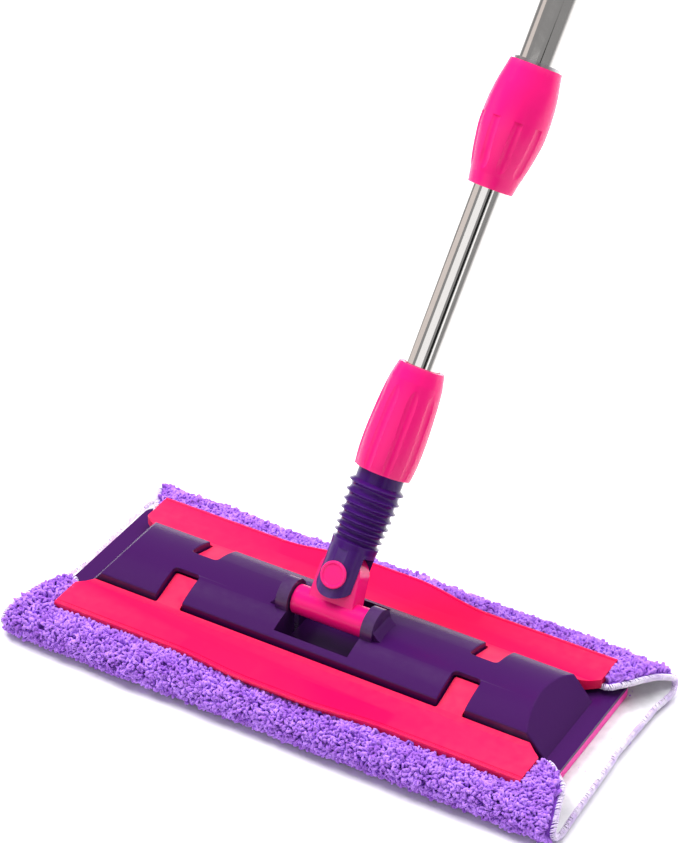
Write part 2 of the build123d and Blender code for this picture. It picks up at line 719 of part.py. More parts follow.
# ---------------------------------------------------------------- lower collar
COLLAR_LOW = 67.7
COLLAR_HIGH = 136.3
# (height above the wide end, radius) down the side, wide end first
COLLAR_SIDE = ((0.0, 18.0), (8.0, 18.9), (20.0, 19.3), (34.0, 18.9), (48.0, 18.0), (59.0, 16.9))
COLLAR_TOP_R = 14.65
FLUTE_COUNT = 9
FLUTE_R = 7.0
FLUTE_DEPTH = 0.9


def turned(low, side, top_z, top_r):
    """Solid of revolution whose side runs smoothly through side and ends in a plain cone."""
    start = (side[0][1], low + side[0][0])
    end = (side[-1][1], low + side[-1][0])
    with BuildPart() as solid:
        with BuildSketch(Plane.XZ):
            with BuildLine():
                Line((0, low + side[0][0]), start)
                Spline(*[(radius, low + height) for height, radius in side])
                Polyline(end, (top_r, top_z), (0, top_z), (0, low + side[0][0]))
            make_face()
        revolve(axis=Axis.Z)
    return solid.part


def flute_cutter(low, side):
    """Round groove along the side, as deep as FLUTE_DEPTH and running out at the last point."""
    inset = FLUTE_R - FLUTE_DEPTH
    points = [(radius + inset, low + height) for height, radius in side[:-1]]
    points[0] = (points[0][0], points[0][1] - (side[1][0] - side[0][0]) / 2)
    points.append((side[-1][1] + FLUTE_R + FLUTE_DEPTH, low + side[-1][0]))
    with BuildPart() as cutter:
        with BuildLine(Plane.XZ) as path:
            Spline(*points)
        with BuildSketch(Plane(origin=path.line @ 0, z_dir=path.line % 0)):
            Circle(FLUTE_R)
        sweep(path=path.line)
    return cutter.part


def fluted(blank, low, side, bores):
    """Blank with flutes down its side; bores are (radius, from, to)."""
    groove = flute_cutter(low, side)
    with BuildPart() as sleeve:
        add(blank)
        for index in range(FLUTE_COUNT):
            angle = (index + 0.5) * 360.0 / FLUTE_COUNT
            add(groove.rotate(Axis.Z, angle), mode=Mode.SUBTRACT)
        for radius, start, stop in bores:
            with Locations((0, 0, start)):
                Cylinder(radius, stop - start, align=(Align.CENTER, Align.CENTER, Align.MIN),
                         mode=Mode.SUBTRACT)
    return sleeve


collar_bores = (
    (NECK_R + RUNNING, COLLAR_LOW, NECK_TOP + 1),
    (COLLET_R + RUNNING, NECK_TOP, COLLET_HIGH + 1),
    (TUBE_R + RUNNING, COLLET_HIGH, COLLAR_HIGH),
)
collar_blank = turned(COLLAR_LOW, COLLAR_SIDE, COLLAR_HIGH, COLLAR_TOP_R)
lower_collar = fluted(collar_blank, COLLAR_LOW, COLLAR_SIDE, collar_bores)
finish(lower_collar, "lower_collar", HANDLE)


# ---------------------------------------------------------------- lock sleeve and its insides
SLEEVE_LOW = 251.8
SLEEVE_TOP = 330.0
SLEEVE_TOP_R = 16.5
SLEEVE_LOW_R = 14.25
SLEEVE_CONE_H = 8.0        # plain ring at the narrow end
# (height above SLEEVE_LOW, radius) from the widest place down to the plain ring
SLEEVE_SIDE = ((40.0, 21.0), (34.0, 20.7), (27.0, 19.7), (20.0, 18.5), (14.0, 17.2), (8.0, 15.7))
SLEEVE_SHOULDER = ((40.0, 21.0), (52.0, 20.7), (64.0, 19.3))
LOCK_LOW = 284.0
LOCK_R = 14.4
UPPER_TUBE_LOW = 300.0

lock_bores = (
    (TUBE_R + RUNNING, SLEEVE_LOW, SLEEVE_LOW + 6),
    (COLLET_R + RUNNING, SLEEVE_LOW + 5, LOCK_LOW),
    (LOCK_R + RUNNING, LOCK_LOW - 1, SLEEVE_TOP),
)

lower_half = turned(SLEEVE_LOW, SLEEVE_SIDE, SLEEVE_LOW, SLEEVE_LOW_R)
upper_half = turned(SLEEVE_LOW, SLEEVE_SHOULDER, SLEEVE_TOP, SLEEVE_TOP_R)
lock_sleeve = fluted(lower_half + upper_half, SLEEVE_LOW, SLEEVE_SIDE, lock_bores)
finish(lock_sleeve, "lock_sleeve", HANDLE)

lock_collet = split_ring(SLEEVE_LOW + 7, LOCK_LOW - 2, TUBE_R + RUNNING, COLLET_R - 1, COLLET_R)
finish(lock_collet, "lock_collet", HANDLE)

with BuildPart() as lock_bush:
    with Locations((0, 0, LOCK_LOW)):
        Cylinder(LOCK_R, SLEEVE_TOP - LOCK_LOW + 2,
                 align=(Align.CENTER, Align.CENTER, Align.MIN))
        Cylinder(TUBE_R + RUNNING, SLEEVE_TOP,
                 align=(Align.CENTER, Align.CENTER, Align.MIN), mode=Mode.SUBTRACT)
    with Locations((0, 0, UPPER_TUBE_LOW)):
        Cylinder(UPPER_TUBE_R + FIT, SLEEVE_TOP,
                 align=(Align.CENTER, Align.CENTER, Align.MIN), mode=Mode.SUBTRACT)
finish(lock_bush, "lock_bush", HANDLE)


# ---------------------------------------------------------------- upper tube, grip and cap
UPPER_TUBE_TOP = 1003.0
GRIP_LOW = 880.0
GRIP_HIGH = 1006.0
GRIP_R = 15.6
GRIP_GROOVES = 9
GRIP_GROOVE_DEPTH = 0.8
GRIP_GROOVE_OUT = 1.2      # groove's centre outside the grip's surface
CAP_PLUG_L = 24.0
CAP_PLUG_IN = 20.0         # how far the cap's plug starts below the tube's end
CAP_CONE_H = 8.0
EYE_T = 9.0
EYE_HALF_W = 13.0
EYE_Z = 1030.0
HANG_R = 7.0

with BuildPart() as upper_tube:
    with Locations((0, 0, UPPER_TUBE_LOW)):
        Cylinder(UPPER_TUBE_R, UPPER_TUBE_TOP - UPPER_TUBE_LOW,
                 align=(Align.CENTER, Align.CENTER, Align.MIN))
        Cylinder(UPPER_TUBE_R - TUBE_WALL, UPPER_TUBE_TOP - UPPER_TUBE_LOW,
                 align=(Align.CENTER, Align.CENTER, Align.MIN), mode=Mode.SUBTRACT)
finish(upper_tube, "upper_tube", HANDLE)

with BuildPart() as grip:
    with Locations((0, 0, GRIP_LOW)):
        Cylinder(GRIP_R, GRIP_HIGH - GRIP_LOW, align=(Align.CENTER, Align.CENTER, Align.MIN))
    fillet(grip.edges().filter_by(GeomType.CIRCLE), radius=1.5)
    groove_pitch = (GRIP_HIGH - GRIP_LOW) / (GRIP_GROOVES + 1)
    for groove in range(1, GRIP_GROOVES + 1):
        with Locations((0, 0, GRIP_LOW + groove * groove_pitch)):
            Torus(GRIP_R + GRIP_GROOVE_OUT, GRIP_GROOVE_OUT + GRIP_GROOVE_DEPTH,
                  mode=Mode.SUBTRACT)
    with Locations((0, 0, GRIP_LOW)):
        Cylinder(UPPER_TUBE_R + FIT, GRIP_HIGH - GRIP_LOW,
                 align=(Align.CENTER, Align.CENTER, Align.MIN), mode=Mode.SUBTRACT)
finish(grip, "grip", HANDLE)

with BuildPart() as end_cap:
    with Locations((0, 0, UPPER_TUBE_TOP - CAP_PLUG_IN)):
        Cylinder(UPPER_TUBE_R - TUBE_WALL - FIT, CAP_PLUG_L,
                 align=(Align.CENTER, Align.CENTER, Align.MIN))
    with Locations((0, 0, GRIP_HIGH)):
        Cone(GRIP_R, EYE_HALF_W - 1, CAP_CONE_H, align=(Align.CENTER, Align.CENTER, Align.MIN))
    with BuildSketch(Plane.XZ.offset(-EYE_T / 2)):
        with Locations((0, EYE_Z)):
            Circle(EYE_HALF_W)
        with Locations((0, (EYE_Z + GRIP_HIGH + CAP_CONE_H / 2) / 2)):
            Rectangle(2 * EYE_HALF_W - 2, EYE_Z - GRIP_HIGH - CAP_CONE_H / 2)
    extrude(amount=EYE_T)
    with Locations(Location((0, 0, EYE_Z), (90, 0, 0))):
        Cylinder(HANG_R, EYE_T, mode=Mode.SUBTRACT)
finish(end_cap, "end_cap", HANDLE)
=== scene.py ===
"""Looks of the flat mop: plastics, steel tubes, and the looped cloth clipped round its head."""

import logging
import math
from dataclasses import dataclass
from enum import Enum

import bpy
import numpy as np
from mathutils import Matrix, Vector


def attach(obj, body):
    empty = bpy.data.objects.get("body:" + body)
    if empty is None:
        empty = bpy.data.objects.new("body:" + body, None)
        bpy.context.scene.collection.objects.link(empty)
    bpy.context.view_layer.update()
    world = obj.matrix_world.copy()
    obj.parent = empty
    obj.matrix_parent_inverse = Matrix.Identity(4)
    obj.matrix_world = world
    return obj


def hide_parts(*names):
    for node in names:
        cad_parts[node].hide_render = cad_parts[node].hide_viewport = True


LOG = logging.getLogger("flat_mop")

MM = 0.001
FRONT, BACK = -1, 1
LEFT, RIGHT = -1, 1


# ---- small helpers
def linear(red: float, green: float, blue: float) -> tuple[float, float, float, float]:
    """Turn a display colour of 0 to 255 into a linear colour.

    Args:
        red: Display red.
        green: Display green.
        blue: Display blue.

    Returns:
        Linear red, green, blue and an alpha of 1.
    """
    def one(value: float) -> float:
        """Linear value of one display channel."""
        share = value / 255.0
        return share / 12.92 if share <= 0.04045 else ((share + 0.055) / 1.055) ** 2.4

    return (one(red), one(green), one(blue), 1.0)


def smoothstep(value: np.ndarray | float, low: float, high: float) -> np.ndarray:
    """Rise from 0 at low to 1 at high without corners.

    Args:
        value: Where to read the curve.
        low: Start of the rise.
        high: End of the rise.

    Returns:
        The curve's height, from 0 to 1.
    """
    share = np.clip((np.asarray(value, float) - low) / (high - low), 0.0, 1.0)
    return share * share * (3.0 - 2.0 * share)


def new_object(name: str, mesh: bpy.types.Mesh) -> bpy.types.Object:
    """Put a mesh into the scene as a named object.

    Args:
        name: Object and mesh name.
        mesh: The finished mesh.

    Returns:
        The linked object.
    """
    mesh.name = name
    made = bpy.data.objects.new(name, mesh)
    bpy.context.scene.collection.objects.link(made)
    return made


def grid_mesh(name: str, points: np.ndarray) -> bpy.types.Mesh:
    """Make a quad mesh from a grid of points.

    Args:
        name: Mesh name.
        points: Rows by columns by 3, in metres.

    Returns:
        The mesh, with smooth faces.
    """
    rows, columns = points.shape[:2]
    faces = [
        (row * columns + column, row * columns + column + 1,
         (row + 1) * columns + column + 1, (row + 1) * columns + column)
        for row in range(rows - 1) for column in range(columns - 1)
    ]
    mesh = bpy.data.meshes.new(name)
    mesh.from_pydata(points.reshape(-1, 3).tolist(), [], faces)
    mesh.shade_smooth()
    return mesh


def pattern_object(name: str, verts: np.ndarray,
                   faces: list[tuple[int, ...]]) -> bpy.types.Object:
    """Make an object that is only copied by a tree and never shown.

    Args:
        name: Object name.
        verts: Corners by 3, in metres.
        faces: Corner numbers of each face.

    Returns:
        The object.
    """
    mesh = bpy.data.meshes.new(name)
    mesh.from_pydata(verts.tolist(), [], faces)
    mesh.shade_smooth()
    made = new_object(name, mesh)
    made.hide_render = True
    return made


def evaluated_copy(source: bpy.types.Object, name: str) -> bpy.types.Object:
    """Turn an object with modifiers into a plain one, and remove the first.

    Args:
        source: Object whose modifiers are to be applied.
        name: Name of the plain object.

    Returns:
        The plain object.
    """
    graph = bpy.context.evaluated_depsgraph_get()
    mesh = bpy.data.meshes.new_from_object(source.evaluated_get(graph))
    old = source.data
    bpy.data.objects.remove(source)
    if old.users == 0:
        bpy.data.meshes.remove(old)
    return new_object(name, mesh)


def count_triangles(pieces: list[bpy.types.Object]) -> int:
    """Number of triangles in some plain mesh objects."""
    return sum(
        sum(len(face.vertices) - 2 for face in piece.data.polygons)
        for piece in pieces
    )


# ---- shader groups
class Socket(Enum):
    """Kinds of socket that the shader and geometry groups use."""

    VALUE = "NodeSocketFloat"
    VECTOR = "NodeSocketVector"
    MESH = "NodeSocketGeometry"
    OBJECT = "NodeSocketObject"
    WHOLE = "NodeSocketInt"
    MATERIAL = "NodeSocketMaterial"


def add_node(tree: bpy.types.NodeTree, kind: str, **settings: object) -> bpy.types.Node:
    """Add a node to a tree; settings are its properties."""
    made = tree.nodes.new(kind)
    for key, value in settings.items():
        setattr(made, key, value)
    return made


def feed(tree: bpy.types.NodeTree, value: object, slot: bpy.types.NodeSocket) -> None:
    """Give a slot its value.

    Args:
        tree: The tree that holds the slot.
        value: A socket to link, or a standing value.
        slot: The slot.
    """
    if isinstance(value, bpy.types.NodeSocket):
        tree.links.new(value, slot)
    else:
        slot.default_value = value


class ShaderGroup:
    """A node group for effects that several materials share."""

    def __init__(self, name: str, inputs: dict[str, tuple[Socket, float]],
                 outputs: dict[str, Socket]) -> None:
        """Make the empty group.

        Args:
            name: Group name.
            inputs: Input name to its kind and standing value.
            outputs: Output name to its kind.
        """
        self.tree = bpy.data.node_groups.new(name, "ShaderNodeTree")
        for label, (kind, value) in inputs.items():
            made = self.tree.interface.new_socket(label, in_out="INPUT", socket_type=kind.value)
            if kind is Socket.VALUE:
                made.default_value = value
        for label, kind in outputs.items():
            self.tree.interface.new_socket(label, in_out="OUTPUT", socket_type=kind.value)
        self.start = self.tree.nodes.new("NodeGroupInput")
        self.end = self.tree.nodes.new("NodeGroupOutput")

    def node(self, kind: str, **settings: object) -> bpy.types.Node:
        """Add a node; settings are its properties."""
        return add_node(self.tree, kind, **settings)

    def join(self, source: bpy.types.NodeSocket, target: bpy.types.NodeSocket) -> None:
        """Link two sockets."""
        self.tree.links.new(source, target)

    def maths(self, operation: str, first: object, second: object) -> bpy.types.NodeSocket:
        """Add a Math node.

        Args:
            operation: Blender's name of the operation.
            first: A socket or a number.
            second: A socket or a number.

        Returns:
            The result's socket.
        """
        made = self.node("ShaderNodeMath", operation=operation)
        for index, value in enumerate((first, second)):
            feed(self.tree, value, made.inputs[index])
        return made.outputs[0]

    def noise(self, scale: object, detail: float, distortion: float = 0.0,
              place: bpy.types.NodeSocket | None = None) -> bpy.types.NodeSocket:
        """Add a noise texture.

        Args:
            scale: A socket or a number.
            detail: Octaves of the noise.
            distortion: How far the noise is warped.
            place: Where it is read, or None for the group's Vector.

        Returns:
            The noise value's socket.
        """
        made = self.node("ShaderNodeTexNoise")
        made.inputs["Detail"].default_value = detail
        made.inputs["Distortion"].default_value = distortion
        feed(self.tree, scale, made.inputs["Scale"])
        self.join(self.start.outputs["Vector"] if place is None else place, made.inputs["Vector"])
        return made.outputs["Fac"]


def mould_grain_group() -> bpy.types.NodeTree:
    """Fine grain of moulded plastic and the smears that handling leaves on it.

    Returns:
        Group with Height, Smear and Tint outputs, all changing over the surface.
    """
    group = ShaderGroup(
        "mould_grain",
        {"Vector": (Socket.VECTOR, 0.0), "Grain Scale": (Socket.VALUE, 900.0),
         "Smear Scale": (Socket.VALUE, 28.0)},
        {"Height": Socket.VALUE, "Smear": Socket.VALUE, "Tint": Socket.VALUE},
    )
    given = group.start.outputs
    group.join(group.noise(given["Grain Scale"], 2.0), group.end.inputs["Height"])
    group.join(group.noise(given["Smear Scale"], 2.0), group.end.inputs["Smear"])
    broad = group.maths("MULTIPLY", given["Smear Scale"], 0.4)
    group.join(group.noise(broad, 1.0), group.end.inputs["Tint"])
    return group.tree


def edge_wear_group() -> bpy.types.NodeTree:
    """Where edges have been rubbed: a mask that follows sharp ridges, broken up by noise.

    Returns:
        Group with a Mask output.
    """
    group = ShaderGroup(
        "edge_wear",
        {"Vector": (Socket.VECTOR, 0.0), "Amount": (Socket.VALUE, 0.5)},
        {"Mask": Socket.VALUE},
    )
    shape = group.node("ShaderNodeNewGeometry")
    ridge = group.node("ShaderNodeMapRange")
    ridge.inputs["From Min"].default_value = 0.52
    ridge.inputs["From Max"].default_value = 0.62
    group.join(shape.outputs["Pointiness"], ridge.inputs["Value"])
    rubbed = group.maths("MULTIPLY", ridge.outputs["Result"], group.noise(160.0, 4.0))
    mask = group.maths("MULTIPLY", rubbed, group.start.outputs["Amount"])
    group.join(mask, group.end.inputs["Mask"])
    return group.tree


def drawn_steel_group() -> bpy.types.NodeTree:
    """Fine lines along a drawn and polished tube, with a few cross scuffs.

    Returns:
        Group with Lines and Scuffs outputs.
    """
    group = ShaderGroup(
        "drawn_steel",
        {"Vector": (Socket.VECTOR, 0.0), "Fineness": (Socket.VALUE, 1400.0)},
        {"Lines": Socket.VALUE, "Scuffs": Socket.VALUE},
    )
    stretch = group.node("ShaderNodeVectorMath", operation="MULTIPLY")
    stretch.inputs[1].default_value = (1.0, 1.0, 0.012)
    group.join(group.start.outputs["Vector"], stretch.inputs[0])
    lines = group.noise(group.start.outputs["Fineness"], 3.0, place=stretch.outputs[0])
    scuffs = group.noise(45.0, 6.0, distortion=2.0)
    group.join(lines, group.end.inputs["Lines"])
    group.join(scuffs, group.end.inputs["Scuffs"])
    return group.tree


def weave_group() -> bpy.types.NodeTree:
    """Knitted backing: crossing rows of fine stitches.

    Returns:
        Group with a Height output.
    """
    group = ShaderGroup(
        "weave",
        {"Vector": (Socket.VECTOR, 0.0), "Pitch": (Socket.VALUE, 420.0)},
        {"Height": Socket.VALUE},
    )
    rows = []
    for direction in ("X", "Y"):
        wave = group.node("ShaderNodeTexWave", wave_type="BANDS", bands_direction=direction)
        wave.inputs["Distortion"].default_value = 1.2
        wave.inputs["Detail"].default_value = 1.0
        group.join(group.start.outputs["Vector"], wave.inputs["Vector"])
        group.join(group.start.outputs["Pitch"], wave.inputs["Scale"])
        rows.append(wave.outputs["Fac"])
    group.join(group.maths("MULTIPLY", rows[0], rows[1]), group.end.inputs["Height"])
    return group.tree


class Effects:
    """The shared shader groups, built once."""

    def __init__(self) -> None:
        """Build every group."""
        self.grain = mould_grain_group()
        self.wear = edge_wear_group()
        self.steel = drawn_steel_group()
        self.weave = weave_group()


# ---- finishes
GRAIN_DEPTH = 0.2 * MM
LINE_DEPTH = 0.1 * MM
FIBRE_DEPTH = 0.4 * MM


@dataclass(frozen=True)
class Finish:
    """What every finish here has: its name, its colour and its roughness."""

    name: str
    colour: tuple[float, float, float, float]
    roughness: float = 0.3


class Look:
    """A finish's material in the making, with its Principled shader."""

    def __init__(self, finish: Finish) -> None:
        """Make the material.

        Args:
            finish: Gives its name, colour and roughness.
        """
        self.material = bpy.data.materials.new(finish.name)
        self.material.use_nodes = True
        self.material.diffuse_color = finish.colour
        self.tree = self.material.node_tree
        self.shader = self.tree.nodes["Principled BSDF"]
        self.set("Base Color", finish.colour)
        self.set("Roughness", finish.roughness)
        self.place = add_node(self.tree, "ShaderNodeTexCoord").outputs["Object"]

    def set(self, label: str, value: object) -> None:
        """Give one of the shader's inputs a value, or the socket that feeds it."""
        feed(self.tree, value, self.shader.inputs[label])

    def group(self, effect: bpy.types.NodeTree, **values: float) -> bpy.types.NodeOutputs:
        """Place a shared group in the material.

        Args:
            effect: The shared group.
            **values: Values of its inputs besides Vector, with _ for a space.

        Returns:
            The group's outputs.
        """
        node = add_node(self.tree, "ShaderNodeGroup", node_tree=effect)
        feed(self.tree, self.place, node.inputs["Vector"])
        for key, value in values.items():
            node.inputs[key.replace("_", " ")].default_value = value
        return node.outputs

    def mixed(self, share: bpy.types.NodeSocket, low: object, high: object) -> bpy.types.NodeSocket:
        """Mix two colours, each a value or a socket.

        Args:
            share: Socket that says how much of high there is.
            low: Colour where share is 0.
            high: Colour where share is 1.

        Returns:
            The mixed colour's socket.
        """
        mix = add_node(self.tree, "ShaderNodeMix", data_type="RGBA")
        for label, value in (("Factor", share), ("A", low), ("B", high)):
            feed(self.tree, value, mix.inputs[label])
        return mix.outputs["Result"]

    def spread(self, value: bpy.types.NodeSocket, low: float, high: float,
               start: float = 0.3, end: float = 0.7) -> bpy.types.NodeSocket:
        """Map a noise value from start..end to low..high.

        Args:
            value: Noise socket.
            low: Result at start.
            high: Result at end.
            start: Input that gives low.
            end: Input that gives high.

        Returns:
            The mapped value's socket.
        """
        node = add_node(self.tree, "ShaderNodeMapRange")
        settings = {"Value": value, "From Min": start, "From Max": end, "To Min": low,
                    "To Max": high}
        for label, given in settings.items():
            feed(self.tree, given, node.inputs[label])
        return node.outputs["Result"]

    def bump(self, height: bpy.types.NodeSocket, strength: float, depth: float) -> None:
        """Feed the shader's normal from a height.

        Args:
            height: Height socket.
            strength: Strength of the bump.
            depth: Metres at a height of 1.
        """
        node = add_node(self.tree, "ShaderNodeBump")
        for label, given in (("Strength", strength), ("Distance", depth), ("Height", height)):
            feed(self.tree, given, node.inputs[label])
        self.set("Normal", node.outputs["Normal"])


def shaded(colour: tuple, factor: float) -> tuple[float, float, float, float]:
    """A colour made lighter or darker by a factor."""
    return tuple(min(1.0, part * factor) for part in colour[:3]) + (1.0,)


@dataclass(frozen=True)
class MouldedPlastic(Finish):
    """Injection moulded plastic, from glossy to satin."""

    specular: float = 0.5
    grain: float = 0.06
    smear: float = 0.06
    wear: float = 0.4

    def build(self, effects: Effects) -> bpy.types.Material:
        """Make the material.

        Args:
            effects: Shared shader groups.

        Returns:
            The finished material.
        """
        look = Look(self)
        grain = look.group(effects.grain)
        wear = look.group(effects.wear, Amount=self.wear)
        toned = look.mixed(grain["Tint"], shaded(self.colour, 0.9), shaded(self.colour, 1.1))
        rubbed = tuple(0.6 * part + 0.4 for part in self.colour[:3]) + (1.0,)
        look.set("Base Color", look.mixed(wear["Mask"], toned, rubbed))
        look.set("Roughness", look.spread(grain["Smear"], self.roughness - self.smear,
                                          self.roughness + self.smear))
        look.set("Specular IOR Level", self.specular)
        look.set("IOR", 1.5)
        look.bump(grain["Height"], self.grain, GRAIN_DEPTH)
        return look.material


@dataclass(frozen=True)
class PolishedSteel(Finish):
    """Stainless or plated steel with drawing lines."""

    lines: float = 0.04

    def build(self, effects: Effects) -> bpy.types.Material:
        """Make the material.

        Args:
            effects: Shared shader groups.

        Returns:
            The finished material.
        """
        look = Look(self)
        steel = look.group(effects.steel)
        look.set("Base Color", look.mixed(steel["Scuffs"], shaded(self.colour, 0.93),
                                          shaded(self.colour, 1.04)))
        look.set("Roughness", look.spread(steel["Scuffs"], self.roughness * 0.7,
                                          self.roughness * 1.4))
        look.set("Metallic", 1.0)
        look.bump(steel["Lines"], self.lines, LINE_DEPTH)
        return look.material


@dataclass(frozen=True)
class Yarn(Finish):
    """Microfibre yarn: the pile, its backing and the overlock thread."""

    tip: tuple[float, float, float, float] = (0.8, 0.8, 0.8, 1.0)
    fibre_scale: float = 900.0
    patch_scale: float = 120.0
    sheen: float = 0.5
    weave: bool = False

    def build(self, effects: Effects) -> bpy.types.Material:
        """Make the material.

        Args:
            effects: Shared shader groups.

        Returns:
            The finished material.
        """
        look = Look(self)
        grain = look.group(effects.grain, Grain_Scale=self.fibre_scale,
                           Smear_Scale=self.patch_scale)
        share = look.spread(grain["Smear"], 0.0, 1.0, 0.35, 0.65)
        look.set("Base Color", look.mixed(share, self.colour, self.tip))
        look.set("Sheen Weight", self.sheen)
        look.set("Sheen Roughness", 0.4)
        look.set("Sheen Tint", self.tip)
        look.set("Specular IOR Level", 0.2)
        relief = look.group(effects.weave) if self.weave else grain
        look.bump(relief["Height"], 0.5, FIBRE_DEPTH)
        return look.material


class Palette:
    """Every finish of the mop, built as materials."""

    def __init__(self, effects: Effects) -> None:
        """Build the materials.

        Args:
            effects: Shared shader groups.
        """
        self.flap = MouldedPlastic("flap_magenta", (0.8, 0.002, 0.078, 1.0), 0.3, specular=0.22,
                                   smear=0.02, wear=0.1).build(effects)
        self.fitting = MouldedPlastic("fitting_pink", (0.86, 0.006, 0.19, 1.0), 0.24,
                                      specular=0.3, smear=0.02, wear=0.1).build(effects)
        self.sole = MouldedPlastic("sole_magenta", (0.95, 0.02, 0.38, 1.0), 0.42,
                                   specular=0.3, wear=0.1).build(effects)
        self.cover = MouldedPlastic("cover_purple", (0.044, 0.005, 0.082, 1.0), 0.25,
                                    specular=0.25, smear=0.015, wear=0.12).build(effects)
        self.joint = MouldedPlastic("joint_purple", (0.047, 0.006, 0.13, 1.0), 0.22,
                                    specular=0.16, smear=0.015, wear=0.12).build(effects)
        self.inner = MouldedPlastic("inner_white", linear(205, 205, 200), 0.5).build(effects)
        self.steel = PolishedSteel("tube_steel", linear(225, 222, 220), 0.07).build(effects)
        self.plated = PolishedSteel("plated_steel", linear(180, 180, 184), 0.3).build(effects)
        self.pile = Yarn("pile_lilac", (0.33, 0.12, 0.63, 1.0), 0.85,
                         tip=(0.54, 0.26, 0.92, 1.0)).build(effects)
        # roots layer under the pile: the pile's yarn painted much darker, as painted shade between
        # the tufts
        self.shade_painted_ground = Yarn("pile_ground", (0.15, 0.04, 0.36, 1.0), 0.95,
                           tip=(0.2, 0.06, 0.46, 1.0), sheen=0.1).build(effects)
        self.backing = Yarn("backing_white", linear(222, 222, 226), 0.9,
                            tip=linear(236, 236, 240), sheen=0.2, weave=True).build(effects)
        self.thread = Yarn("overlock_lavender", (0.72, 0.58, 0.88, 1.0), 0.8,
                           tip=(0.92, 0.86, 0.98, 1.0), sheen=0.4).build(effects)


# ---- studio
@dataclass
class Studio:
    """Camera, lights and floor. Nothing here belongs to the mop."""

    azimuth: float = 30.31
    elevation: float = 34.5
    roll: float = 0.3
    position: tuple[float, float, float] = (0.7252, -1.2336, 1.1637)
    lens: float = 126.63
    sensor: float = 36.0
    room: float = 0.32
    panel_focus: tuple[float, float, float] = (0.06, 0.08, 0.2)
    floor_half: float = 12.0
    floor_drop: float = 0.5 * MM

    def camera(self) -> None:
        """Place the camera."""
        data = bpy.data.cameras.new("camera")
        data.lens = self.lens
        data.sensor_width = self.sensor
        data.clip_start = 0.05
        data.clip_end = 50.0
        made = bpy.data.objects.new("camera", data)
        bpy.context.scene.collection.objects.link(made)
        turn = (Matrix.Rotation(math.radians(self.azimuth), 4, "Z")
                @ Matrix.Rotation(math.radians(90.0 - self.elevation), 4, "X")
                @ Matrix.Rotation(math.radians(self.roll), 4, "Z"))
        made.matrix_world = Matrix.Translation(self.position) @ turn
        bpy.context.scene.camera = made

    @staticmethod
    def lamp(name: str, place: tuple[float, float, float], target: tuple[float, float, float],
             size: float, power: float) -> None:
        """Add a square soft light that shiny surfaces do not mirror.

        Args:
            name: Light name.
            place: Where it hangs.
            target: What it points at.
            size: Side in metres.
            power: Watts.
        """
        data = bpy.data.lights.new(name, "AREA")
        data.size = size
        data.energy = power
        made = bpy.data.objects.new(name, data)
        made.visible_glossy = False
        bpy.context.scene.collection.objects.link(made)
        made.location = place
        made.rotation_euler = (Vector(target) - Vector(place)).to_track_quat("-Z", "Y").to_euler()

    @staticmethod
    def card(name: str, half_w: float, half_h: float) -> bpy.types.Object:
        """Make a flat rectangle that lies round the origin.

        Args:
            name: Object name.
            half_w: Half its width.
            half_h: Half its height.

        Returns:
            The rectangle.
        """
        mesh = bpy.data.meshes.new(name)
        corners = [(-half_w, -half_h, 0), (half_w, -half_h, 0), (half_w, half_h, 0),
                   (-half_w, half_h, 0)]
        mesh.from_pydata(corners, [], [(0, 1, 2, 3)])
        return new_object(name, mesh)

    def panel(self, name: str, place: tuple[float, float, float], size: tuple[float, float],
              glow: tuple[float, float, float]) -> None:
        """Hang a softly glowing panel that faces the mop, for surfaces to mirror.

        Args:
            name: Panel name.
            place: Centre of the panel.
            size: Width and height in metres.
            glow: Colour and strength of its light.
        """
        made = self.card(name, size[0] / 2, size[1] / 2)
        made.location = place
        aim = Vector(self.panel_focus) - Vector(place)
        made.rotation_euler = aim.to_track_quat("Z", "Y").to_euler()
        material = bpy.data.materials.new(name)
        material.use_nodes = True
        nodes = material.node_tree.nodes
        nodes.clear()
        light = nodes.new("ShaderNodeEmission")
        light.inputs["Color"].default_value = (*glow, 1.0)
        end = nodes.new("ShaderNodeOutputMaterial")
        material.node_tree.links.new(light.outputs["Emission"], end.inputs["Surface"])
        made.data.materials.append(material)

    def floor(self) -> None:
        """Lay a wide pale floor."""
        made = self.card("floor", self.floor_half, self.floor_half)
        made.location.z = -self.floor_drop
        material = bpy.data.materials.new("floor_paper")
        material.use_nodes = True
        shader = material.node_tree.nodes["Principled BSDF"]
        shader.inputs["Base Color"].default_value = (0.94, 0.94, 0.94, 1.0)
        shader.inputs["Roughness"].default_value = 0.9
        shader.inputs["Specular IOR Level"].default_value = 0.1
        made.data.materials.append(material)

    def build(self) -> None:
        """Set up the whole studio."""
        scene = bpy.context.scene
        scene.view_settings.view_transform = "Standard"
        world = bpy.data.worlds.new("studio")
        world.use_nodes = True
        world.node_tree.nodes["Background"].inputs["Color"].default_value = (1.0, 1.0, 1.0, 1.0)
        world.node_tree.nodes["Background"].inputs["Strength"].default_value = self.room
        scene.world = world
        self.camera()
        self.floor()
        self.lamp("key", (-1.3, 0.1, 2.1), (0.0, 0.0, 0.1), 1.3, 62.0)
        self.lamp("top", (0.5, 0.9, 2.6), (0.0, 0.0, 0.1), 2.2, 70.0)
        self.lamp("far_fill", (1.6, 2.4, 1.9), (0.0, 0.3, 0.2), 1.6, 22.0)
        self.panel("front_panel", (-0.3, -2.6, 1.3), (2.3, 1.5), (1.15, 1.15, 1.15))
        self.panel("dark_card", (1.62, -1.95, 0.78), (0.62, 1.5), (0.02, 0.02, 0.02))
        self.panel("left_panel", (-2.3, -0.75, 0.75), (1.7, 1.3), (0.86, 0.78, 0.74))
        self.panel("right_strip", (1.95, -1.4, 0.5), (0.42, 1.1), (1.3, 1.3, 1.3))
        LOG.info("studio ready")


